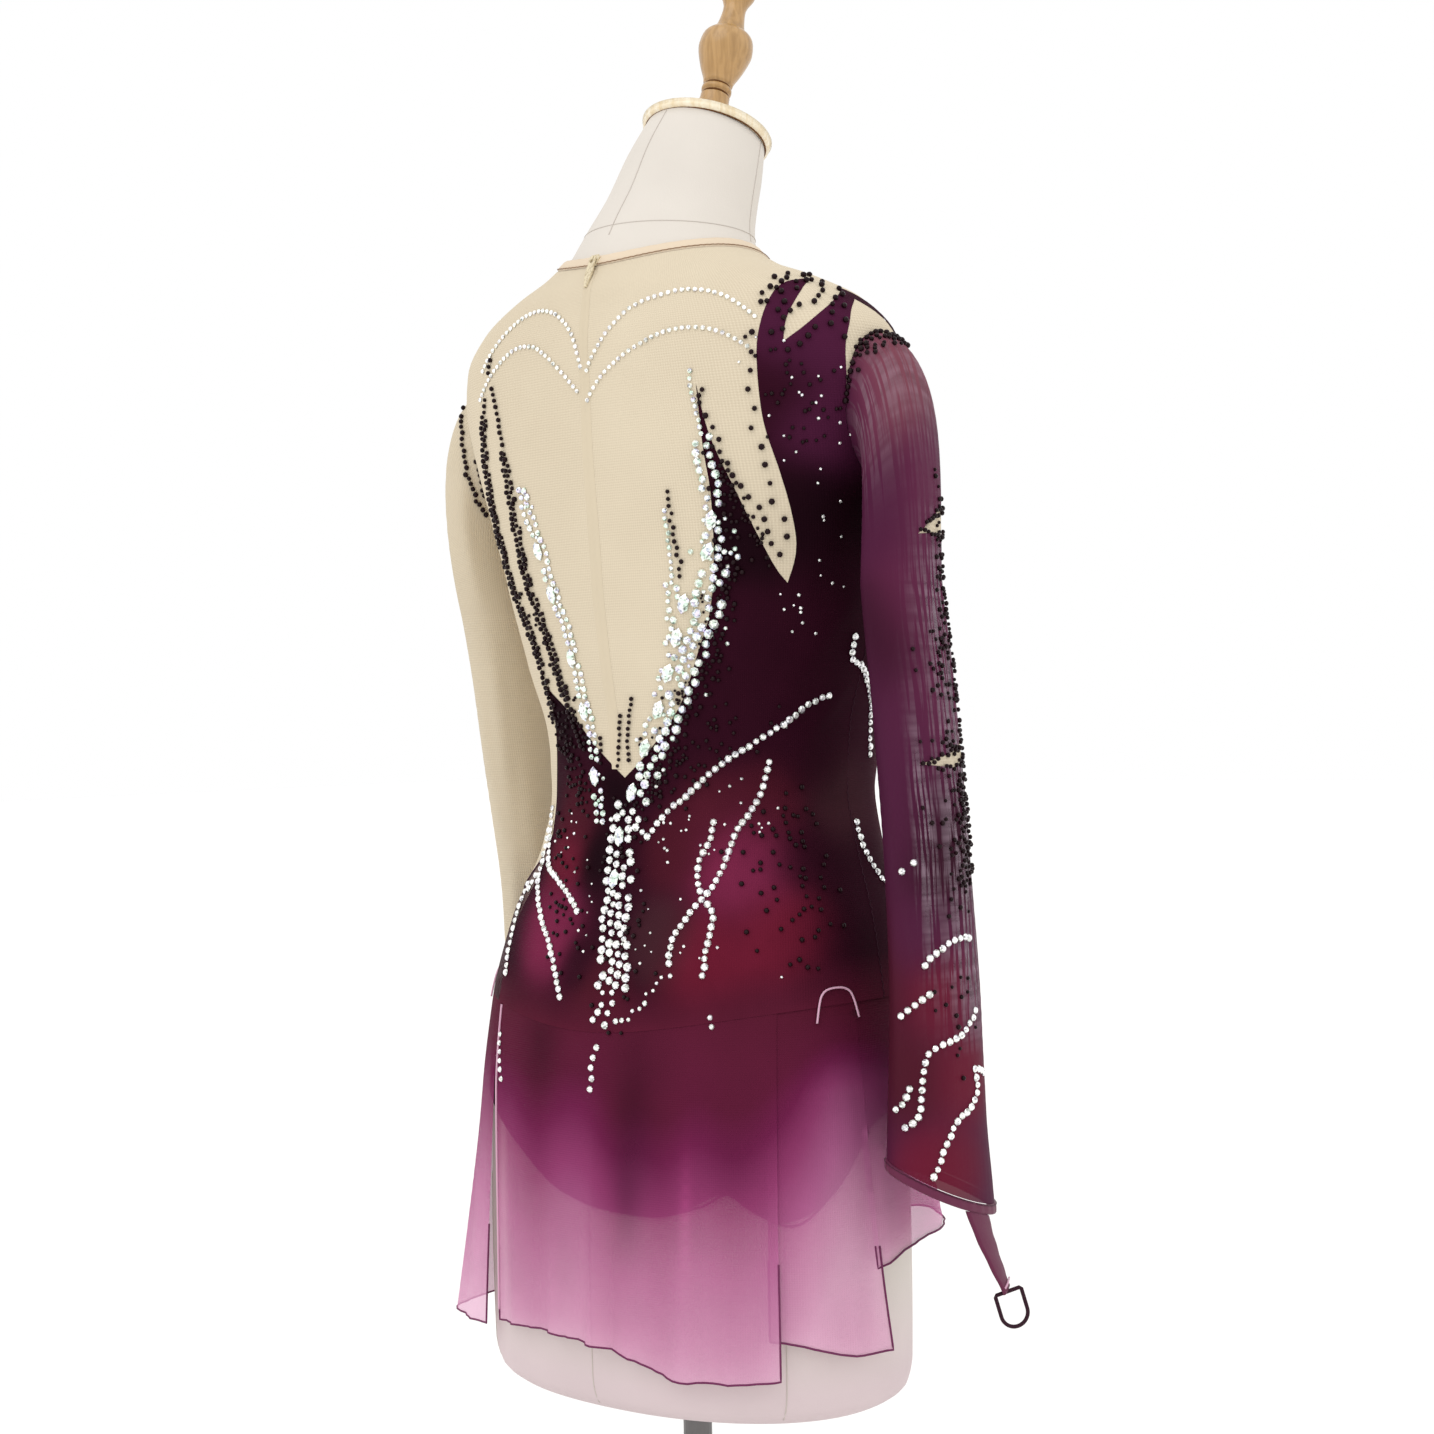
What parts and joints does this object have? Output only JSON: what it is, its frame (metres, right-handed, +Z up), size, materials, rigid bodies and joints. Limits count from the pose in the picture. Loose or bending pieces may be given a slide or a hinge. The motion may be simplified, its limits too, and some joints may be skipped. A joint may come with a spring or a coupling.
{
  "type": "figure skating dress on a dress form",
  "caption": "Long-sleeved figure skating dress with a sheer back and a short ombre skirt, worn by a limbless dress form on a round stand.",
  "frame": {"origin": "middle of the stand's flat underside", "axes": "+Z up, the figure faces -Y, its right hand is at -X"},
  "size_m": [0.4763, 0.34, 1.5956],
  "materials": {
    "nude_mesh": "fine stretch mesh, matt with a faint sheen",
    "plum_cloth": "dyed stretch knit, soft sheen",
    "plum_mesh": "sheer stretch mesh, dyed in uneven stripes",
    "grey_mesh": "sheer stretch mesh",
    "chiffon": "sheer chiffon, shaded from dark plum to pink",
    "jersey": "smooth knitted cover",
    "beech": "turned and clear lacquered",
    "steel": "dark grey powder coat",
    "cream_metal": "cream enamel",
    "crystal": "cut and foiled glass",
    "elastic": "round covered elastic"
  },
  "bodies": {
    "dress_on_form": {"back_bodice_plum": "plum_cloth", "back_yoke_nude": "nude_mesh", "briefs": "plum_cloth", "cuff_band": "plum_cloth", "finger_loop": "elastic", "finger_strap": "plum_cloth", "finial": "beech", "form_body": "jersey", "front_bodice_plum": "plum_cloth", "front_yoke_nude": "nude_mesh", "left_hip_mesh": "grey_mesh", "left_sleeve": "nude_mesh", "neck_binding": "nude_mesh", "neck_cap": "beech", "right_shoulder_nude": "nude_mesh", "right_sleeve": "plum_mesh", "skirt_back": "chiffon", "skirt_front_left": "chiffon", "skirt_front_right": "chiffon", "skirt_right": "chiffon", "slit_inset_lower": "nude_mesh", "slit_inset_upper": "nude_mesh", "stand_base": "steel", "stand_pole": "steel", "stone_left_1": "crystal", "stone_left_2": "crystal", "stone_left_3": "crystal", "stone_left_4": "crystal", "stone_left_5": "crystal", "stone_right_1": "crystal", "stone_right_2": "crystal", "stone_right_3": "crystal", "stone_right_4": "crystal", "stone_right_5": "crystal", "stone_right_6": "crystal", "stone_right_7": "crystal", "stone_right_8": "crystal", "stone_right_9": "crystal", "stone_right_10": "crystal", "zip_slider": "cream_metal"},
    "zip_pull": {"zip_pull": "cream_metal"}
  },
  "joints": [
    {"name": "zip_pull_swing", "type": "hinge", "parent": "dress_on_form", "child": "zip_pull", "pos_m": [0, 0.08382, 1.3685], "axis": [1, 0, 0], "range_deg": [0, 150]}
  ]
}
